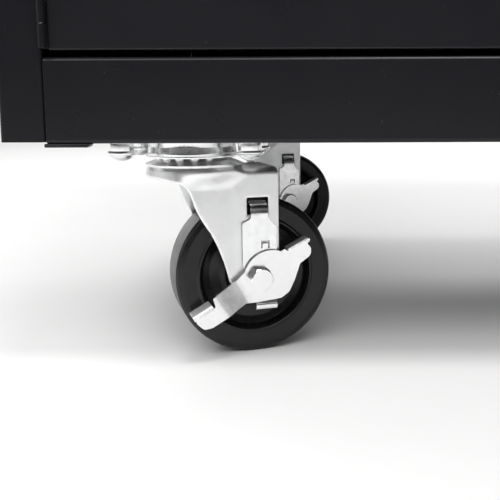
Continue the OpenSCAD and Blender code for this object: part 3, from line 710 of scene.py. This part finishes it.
def spring_path():
    """Bottle outline of the leaf spring in (x, z) mm."""
    left = [(30.8, 99.0, 1.0), (30.8, 87.4, 1.2), (29.6, 86.0, 0.8), (25.4, 84.2, 1.0), (25.4, 58.0, 2),
            (31.0, 42.0, 3), (33.4, 38.0, 2), (33.4, 28.0, 0.6)]
    right = [(46.9, 28.0, 0.6), (46.9, 58.0, 2), (46.9, 81.4, 1.4), (43.2, 85.0, 1.2), (41.8, 87.2, 1.4),
             (41.8, 99.0, 1.0)]
    return closed_rounded(left + right, 4)


NOTCH = (37.0, 42.4, 68.0, 73.0)  # the square hole, x0, x1, z0, z1


def make_springs():
    bend_z, bend_r, lean = 89.5, 6.0, math.radians(66)
    foot_z, foot_r, turn = 31.4, 1.6, math.radians(80)
    step_z, step_h = 33.2, 0.45

    def bent(v, depth, over, radius, angle):
        """Follows a bend that starts where over is 0: how far along, and towards the wheel."""
        a = min(over / radius, angle)
        spare = max(over - radius * angle, 0)
        r = radius + depth
        return r * math.sin(a) + spare * math.cos(a), v - r * (1 - math.cos(a)) - spare * math.sin(a)

    def shape(x, depth, z):
        v = SPRING_V + depth
        if z > bend_z:
            rise, v = bent(v, depth, z - bend_z, bend_r, lean)
            return Vector((x, -v, bend_z + rise))
        v += step_h * min(max((step_z - z) / 0.7, 0), 1)
        if z < foot_z:
            drop, v = bent(v, depth, foot_z - z, foot_r, turn)
            return Vector((x, -v, foot_z - drop))
        return Vector((x, -v, z))

    levels = [*np.linspace(bend_z, bend_z + bend_r * lean, 9), step_z, step_z - 0.35, step_z - 0.7,
              *np.linspace(foot_z - foot_r * turn, foot_z, 6)]
    cuts = [((0, z), (0, 1)) for z in levels]
    x0, x1, z0, z1 = NOTCH
    square = [(x0, z0), (x1, z0), (x1, z1), (x0, z1)]
    for corner in CORNERS:
        place, trail, axle_z = PLACES[corner]
        holes = [square, circle_path(trail, axle_z, 4.2)]
        bm = sheet_mesh(spring_path(), SPRING_T, shape, cuts, holes)
        leaf = sheet_object(f"brake_leaf_{corner}", bm, ZINC, place)
        for part in (leaf, spring_tab(f"leaf_tab_{corner}", place)):
            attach(part, f"caster_{corner}")
            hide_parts(f"brake_spring_{corner}")


def spring_tab(name, place):
    """The small tab left standing in the leaf spring's square hole."""
    x0, x1, z0, z1 = NOTCH
    gap, front, back = 0.9, -SPRING_V - SPRING_T - 0.1, -SPRING_V + 0.5
    bm = bmesh.new()
    low = [bm.verts.new(p) for p in ((x0 + gap, front, z0 - 0.2), (x1 - gap, front, z0 - 0.2),
                                     (x1 - gap, front, z1 - 1.9), (x0 + gap, front, z1 - 1.9))]
    high = [bm.verts.new((v.co.x, back, v.co.z)) for v in low]
    for i in range(4):
        j = (i + 1) % 4
        bm.faces.new((low[i], low[j], high[j], high[i]))
    bm.faces.new(low)
    bm.faces.new(list(reversed(high)))
    return sheet_object(name, bm, ZINC, place, 0.2)


# ---------------------------------------------------------------- hexagons, bolts, plates
BOLT_R, BORE_R = 4.0, 4.2
NUT_FLATS = 13.0


def hex_radius(angle, across_flats, start):
    a = (angle - start) % (math.pi / 3) - math.pi / 6
    return across_flats / 2 / math.cos(a)


def hex_piece(name, across_flats, height, material, bore=0.0, chamfer_bottom=False, start=0.0):
    """A hexagon standing on z = 0, chamfered above and, if asked, below. A bore > 0 is a hole."""
    slope = math.tan(math.radians(28))
    inner = across_flats / 2 * 0.965
    centre = bore if bore > 0 else ON_AXIS
    segments = 96
    verts, faces = [], []
    rows = []
    for k in range(segments):
        a = 2 * math.pi * k / segments
        r = hex_radius(a, across_flats, start)
        cut_top = (r - inner) * slope
        cut_bottom = cut_top if chamfer_bottom else 0
        row = [(centre, height), (inner, height)]
        for s in (0.35, 0.7, 1.0):
            rr = inner + (r - inner) * s
            row.append((rr, height - (rr - inner) * slope))
        row += [(r, height - cut_top - 0.15), (r, cut_bottom + 0.15), (r, cut_bottom)]
        row += [(inner, 0), (centre, 0)]
        rows.append([(rad * math.cos(a), rad * math.sin(a), z) for rad, z in row])
    n = len(rows[0])
    for row in rows:
        verts.extend(row)
    for k in range(segments):
        here, there = k * n, (k + 1) % segments * n
        for i in range(n):
            j = (i + 1) % n
            faces.append((here + i, there + i, there + j, here + j))
    return new_object(name, verts, faces, material, 24)


def make_axles():
    nut_h = 6.6
    head_v = -(LEVER_V + LEVER_T + 0.1)
    for corner in CORNERS:
        place, trail, axle_z = PLACES[corner]
        at = place @ Matrix.Translation((trail, 0, axle_z))
        start = math.radians(-5)
        head = hex_piece(f"axle_head_{corner}", NUT_FLATS, nut_h, ZINC, start=start)
        outwards = Matrix.Rotation(math.pi / 2, 4, "X")
        head.data.transform(at @ Matrix.Translation((0, head_v, 0)) @ outwards)
        nut = hex_piece(f"axle_nut_{corner}", NUT_FLATS, nut_h, ZINC, bore=3.6, chamfer_bottom=True)
        nut.data.transform(at @ Matrix.Translation((0, LEG_V, 0)) @ ACROSS)
        tip = LEG_V + nut_h + 1.0
        shank = [(ON_AXIS, head_v), (BOLT_R, head_v), (BOLT_R, LEG_V + nut_h + 0.6), (3.4, tip),
                 (ON_AXIS, tip)]
        bolt = lathe(f"axle_bolt_{corner}", shank, ZINC, 48)
        bolt.data.transform(at @ ACROSS)
        inner_v, sleeve, washer = LEG_V - SHEET_T, 6.0, 9.0
        tube = [(BORE_R, -inner_v), (washer, -inner_v), (washer, -inner_v + 1.8),
                (sleeve, -inner_v + 1.9), (sleeve, inner_v - 1.9), (washer, inner_v - 1.8),
                (washer, inner_v), (BORE_R, inner_v)]
        spacer = lathe(f"axle_sleeve_{corner}", tube, ZINC, 64)
        spacer.data.transform(at @ ACROSS)
        near, far, collar_r = -LEVER_V + 0.1, -SPRING_V - SPRING_T - 0.1, 7.5
        collar = lathe(f"axle_collar_{corner}", [
            (BORE_R, near), (collar_r, near), (collar_r, far), (BORE_R, far)], ZINC, 48)
        collar.data.transform(at @ ACROSS)
        for part in (head, nut, bolt, spacer, collar):
            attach(part, f"caster_{corner}")
            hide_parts(f"wheel_axle_{corner}")


PLATE_W, PLATE_D, PLATE_T = 92.0, 60.0, 3.0
BOLT_X, BOLT_Y = 38.0, 22.5
BOSS_Z = 125.0


def pivot_matrices():
    """The four swivel pins' places, unturned, from millimetres."""
    return [Matrix.Translation((PLACES[c][0].translation.x, PLACES[c][0].translation.y, 0))
            @ Matrix.Scale(MM, 4) for c in CORNERS]


def plain_plate(name):
    """The flat top plate with rounded corners."""
    x, y = PLATE_W / 2, PLATE_D / 2
    outline = closed_rounded([(-x, -y, 7), (x, -y, 7), (x, y, 7), (-x, y, 7)], 8)
    bm = bmesh.new()
    bm.faces.new([bm.verts.new((p.x, p.y, PLATE_TOP - PLATE_T)) for p in outline])
    top = bmesh.ops.extrude_face_region(bm, geom=bm.faces[:])
    for v in [g for g in top["geom"] if isinstance(g, bmesh.types.BMVert)]:
        v.co.z = PLATE_TOP
    bmesh.ops.bevel(bm, geom=[e for e in bm.edges if abs(e.verts[0].co.z - e.verts[1].co.z) < 0.1],
                    offset=0.5, segments=2, affect="EDGES", profile=0.5)
    mesh = bpy.data.meshes.new(name)
    bm.to_mesh(mesh)
    bm.free()
    return finish_mesh(name, mesh, ZINC, 35)


def boss_profile():
    """The pressed raceway: a shallow cup that flares to a thin bright rim."""
    z = PLATE_TOP - PLATE_T
    outer = rounded([
        (25.2, z + 0.4, 0), (26.0, z - 0.2, 0.6), (26.9, z - 3.0, 2.0), (27.3, BOSS_Z + 2.6, 1.4),
        (28.7, BOSS_Z + 1.3, 0.5), (28.7, BOSS_Z + 0.1, 0.3), (27.4, BOSS_Z, 0.3),
        (24.0, BOSS_Z + 0.5, 1.0), (12.0, BOSS_Z + 0.5, 0.8), (12.0, z + 0.4, 0)], 4)
    return [(p.x, p.y) for p in outer]


def make_caster_plates():
    mats = pivot_matrices()
    plate = copies(plain_plate("plate_part"), "caster_top_plates", mats)
    boss = copies(lathe("boss_part", boss_profile(), ZINC, 128), "raceway_bosses", mats)
    for part in (plate, boss):
        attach(part, "cabinet")
        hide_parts("caster_plates")


def split_washer(name, z, lean):
    """A spring washer: one open turn whose ends stand apart."""
    inner, outer, thick, rise = 4.3, 8.4, 1.5, 1.1
    turns = 60
    bm = bmesh.new()
    rings = []
    for k in range(turns + 1):
        a = math.radians(8 + 344 * k / turns)
        lift = rise * k / turns - rise / 2
        c, s = math.cos(a), math.sin(a)
        ring = [(inner * c, inner * s, lift), (outer * c, outer * s, lift),
                (outer * c, outer * s, lift + thick), (inner * c, inner * s, lift + thick)]
        rings.append([bm.verts.new(p) for p in ring])
    for a, b in zip(rings, rings[1:]):
        for i in range(4):
            bm.faces.new((a[i], a[(i + 1) % 4], b[(i + 1) % 4], b[i]))
    bm.faces.new(rings[0])
    bm.faces.new(list(reversed(rings[-1])))
    bmesh.ops.recalc_face_normals(bm, faces=bm.faces)
    bmesh.ops.bevel(bm, geom=[e for e in bm.edges if e.calc_face_angle(0) > 0.9], offset=0.22,
                    segments=2, affect="EDGES", profile=0.5)
    mesh = bpy.data.meshes.new(name)
    bm.to_mesh(mesh)
    bm.free()
    obj = finish_mesh(name, mesh, ZINC, 35)
    obj.data.transform(Matrix.Translation((0, 0, z)) @ Matrix.Rotation(math.radians(lean), 4, "X"))
    return obj


def make_plate_bolts():
    plate = PLATE_TOP - PLATE_T
    collar_t = 5.1
    under = plate - collar_t - 1.7
    head_r, head_h = 7.7, 4.0
    dome = head_r * head_r / (2 * head_h) + head_h / 2
    head = [(ON_AXIS, under), (head_r, under), (head_r, under - 0.5)]
    head += [(dome * math.sin(a), under - head_h + dome * (1 - math.cos(a)))
             for a in np.linspace(math.asin(head_r / dome) * 0.97, 0.001, 12)]
    collar = rounded([(BORE_R, plate, 0), (7.0, plate, 0.3), (7.0, plate - collar_t, 0.5),
                      (BORE_R, plate - collar_t, 0)], 4)
    top = PLATE_TOP + 11
    shank = [(ON_AXIS, under - 0.2), (BOLT_R, under - 0.2), (BOLT_R, top), (ON_AXIS, top)]
    spots = [Matrix.Translation((x, y, 0)) for x in (-BOLT_X, BOLT_X) for y in (-BOLT_Y, BOLT_Y)]
    angles = [20, 95, 140, 250, 305, 60, 200, 10, 330, 120, 75, 160, 220, 40, 280, 100]
    pieces = {
        "plate_bolt_heads": lathe("head_part", head, ZINC, 64),
        "plate_bolt_collars": lathe("collar_part", [(p.x, p.y) for p in collar], ZINC, 64),
        "plate_split_washers": split_washer("washer_part", under + 0.1, 3),
        "plate_bolt_shanks": lathe("shank_part", shank, ZINC, 32),
        "plate_bolt_nuts": hex_piece("nut_part", NUT_FLATS, 6.5, ZINC, bore=3.9)}
    pieces["plate_bolt_nuts"].data.transform(Matrix.Translation((0, 0, PLATE_TOP + 2)))
    for name, part in pieces.items():
        mats = [pivot @ spot @ Matrix.Rotation(math.radians(angles[4 * i + j]), 4, "Z")
                for i, pivot in enumerate(pivot_matrices()) for j, spot in enumerate(spots)]
        made = copies(part, name, mats)
        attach(made, "cabinet")
        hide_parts("plate_bolts")


# ---------------------------------------------------------------- CAD nodes that stay
STAY = {
    PAINT: ("side_panel_left", "side_panel_right", "back_panel", "top_cap", "base_pan", "divider_panel",
            "caster_channels", "corner_gussets", "drawer_1", "drawer_2", "drawer_3", "door_left",
            "door_right", "hinge_frame_leaves", "hinge_leaf_left", "hinge_leaf_right", "shelf",
            "handle_brackets"),
    ZINC: ("slide_channels", "drawer_runners_1", "drawer_runners_2", "drawer_runners_3", "shelf_clips",
           "handle_screws", "swivel_pins", "swivel_balls", "hinge_pins"),
    CHROME: ("push_handle", "drawer_lock_barrel", "drawer_lock_plug", "door_lock_plug"),
    ALUMINIUM: ("drawer_pull_1", "drawer_pull_2", "drawer_pull_3", "door_pull_left", "door_pull_right"),
    MAT: ("top_mat",),
    PLASTIC: ("door_catches",)}
BEVELS = {"door_left": 1.0, "door_right": 1.0, "drawer_1": 1.0, "drawer_2": 1.0, "drawer_3": 1.0,
          "top_cap": 0.8, "corner_gussets": 0.6, "side_panel_left": 0.2, "side_panel_right": 0.2,
          "base_pan": 0.7, "divider_panel": 0.3, "handle_brackets": 0.8, "push_handle": 1.0,
          "drawer_lock_barrel": 0.4, "drawer_lock_plug": 0.3, "door_lock_plug": 0.3, "top_mat": 0.8,
          "door_catches": 0.8, "handle_screws": 0.6, "caster_channels": 0.3,
          "hinge_frame_leaves": 0.12, "hinge_leaf_left": 0.12, "hinge_leaf_right": 0.12,
          "drawer_pull_1": 0.3, "drawer_pull_2": 0.3, "drawer_pull_3": 0.3,
          "door_pull_left": 0.3, "door_pull_right": 0.3, "shelf": 0.3}


def dress_nodes():
    for material, names in STAY.items():
        for name in names:
            obj = frame["nodes"][name]
            obj.data.materials.clear()
            obj.data.materials.append(material)
            for face in obj.data.polygons:
                face.material_index = 0
            if name in BEVELS:
                bevel(obj, BEVELS[name] * MM)
    close_seams(frame["nodes"]["back_panel"])


def close_seams(panel):
    """Paint fills the hairline between the back panel and the posts' rolled corners."""
    seam = 0.2
    middle = (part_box("back_panel")[0].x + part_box("back_panel")[1].x) / 2
    for name, sign in (("left_seam", -1), ("right_seam", 1)):
        group = panel.vertex_groups.new(name=name)
        edge = [v.index for v in panel.data.vertices if (v.co.x - middle) * sign > 0]
        group.add(edge, 1.0, "REPLACE")
        mod = panel.modifiers.new(name, "DISPLACE")
        mod.direction = "X"
        mod.mid_level = 0.0
        mod.strength = sign * seam * MM
        mod.vertex_group = name


# ---------------------------------------------------------------- stage, light and camera
# The camera stands in front of the chest's lower left corner, low and level with its casters.
# Its place is measured from the rail's left end, on the floor.
CAM_RIGHT, CAM_FORWARD, CAM_UP = 0.15688, -0.43843, 0.16205
FOCAL_PX, CENTRE_X, CENTRE_Y = 793.2, 330.05, 196.18
PITCH, ROLL = 7.24, 0.23
FRAME_PX = 500
SENSOR = 36.0


def make_camera():
    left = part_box("base_pan")[0].x
    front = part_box("base_pan")[0].y
    data = bpy.data.cameras.new("camera")
    data.sensor_width = SENSOR
    data.sensor_fit = "HORIZONTAL"
    data.lens = FOCAL_PX / FRAME_PX * SENSOR
    data.shift_x = (FRAME_PX / 2 - CENTRE_X) / FRAME_PX
    data.shift_y = (CENTRE_Y - FRAME_PX / 2) / FRAME_PX
    data.clip_start = 0.02
    camera = bpy.data.objects.new("camera", data)
    camera.location = (left + CAM_RIGHT, front + CAM_FORWARD, CAM_UP)
    look = Matrix.Rotation(math.radians(90 - PITCH), 4, "X")
    camera.rotation_euler = (look @ Matrix.Rotation(math.radians(-ROLL), 4, "Z")).to_euler()
    bpy.context.scene.collection.objects.link(camera)
    bpy.context.scene.camera = camera


def make_stage():
    size = 6.0
    mesh = bpy.data.meshes.new("studio_floor")
    corners = [(-size, -size), (size, -size), (size, size), (-size, size)]
    mesh.from_pydata([(x, y, 0) for x, y in corners], [], [(0, 1, 2, 3)])
    floor = bpy.data.objects.new("studio_floor", mesh)
    bpy.context.scene.collection.objects.link(floor)
    n = Nodes("studio_floor", (0.86, 0.86, 0.855), 0.0, 0.5)
    tone = n.ramp(n.noise(3, 4, 0.5), [(0.3, (0.84, 0.84, 0.835)), (0.7, (0.87, 0.87, 0.865))])
    mesh.materials.append(n.set(Base_Color=tone))


def area_light(name, location, target, width, depth, power):
    data = bpy.data.lights.new(name, "AREA")
    data.energy = power
    data.shape = "RECTANGLE"
    data.size = width
    data.size_y = depth
    light = bpy.data.objects.new(name, data)
    light.location = location
    light.rotation_euler = (Vector(target) - Vector(location)).to_track_quat("-Z", "Y").to_euler()
    bpy.context.scene.collection.objects.link(light)


def make_world():
    """A white studio: bright behind and above, dim towards the photographer. What the
    camera sees straight is plain white all round."""
    world = bpy.data.worlds.new("studio")
    bpy.context.scene.world = world
    world.use_nodes = True
    tree = world.node_tree
    add, link = tree.nodes.new, tree.links.new
    coords, split = add("ShaderNodeTexCoord"), add("ShaderNodeSeparateXYZ")
    link(coords.outputs["Generated"], split.inputs[0])
    level = None
    for axis, low, high, dark, bright in WORLD:
        ramp = add("ShaderNodeMapRange")
        ramp.interpolation_type = "SMOOTHSTEP"
        for key, value in (("From Min", low), ("From Max", high), ("To Min", dark), ("To Max", bright)):
            ramp.inputs[key].default_value = value
        link(split.outputs[axis], ramp.inputs["Value"])
        if level is None:
            level = ramp.outputs[0]
        else:
            total = add("ShaderNodeMath")
            link(level, total.inputs[0])
            link(ramp.outputs[0], total.inputs[1])
            level = total.outputs[0]
    path, mix = add("ShaderNodeLightPath"), add("ShaderNodeMix")
    link(path.outputs["Is Camera Ray"], mix.inputs[0])
    link(level, mix.inputs[2])
    mix.inputs[3].default_value = 1.0
    link(mix.outputs[0], tree.nodes["Background"].inputs["Strength"])
    tree.nodes["Background"].inputs["Color"].default_value = (1, 1, 1, 1)


# (axis, from, to, strength at from, strength at to): the three are added up
WORLD = (("Y", 0.3, 1.0, 0.04, 1.45), ("Z", 0.3, 1.0, 0.0, 0.40), ("X", -1.0, 0.0, 0.12, 0.0))
LIGHTS = (  # name, place, target, width, depth, watts
    ("key", (-0.5, -1.8, 2.0), (-0.1, -0.3, 0.1), 2.4, 1.2, 40),
    ("left_panel", (-2.2, -0.6, 0.9), (-0.3, -0.1, 0.0), 2.2, 1.4, 7),
    ("left_top", (-1.4, 0.7, 2.1), (-0.6, 0.3, 0.0), 1.2, 1.2, 14),
    ("rear", (0.7, 2.2, 1.2), (0.3, 0.4, 0.0), 1.4, 0.35, 14),
    ("top", (0.3, -0.8, 2.2), (0.2, -0.2, 0), 1.0, 0.6, 27))


def make_light():
    make_world()
    for name, place, target, width, depth, power in LIGHTS:
        area_light(name, place, target, width, depth, power)
    view = bpy.context.scene.view_settings
    view.view_transform = "Standard"
    view.look = "None"


make_camera()
dress_nodes()
make_wheels()
make_forks()
make_levers()
make_springs()
make_axles()
make_caster_plates()
make_plate_bolts()
make_stage()
make_light()
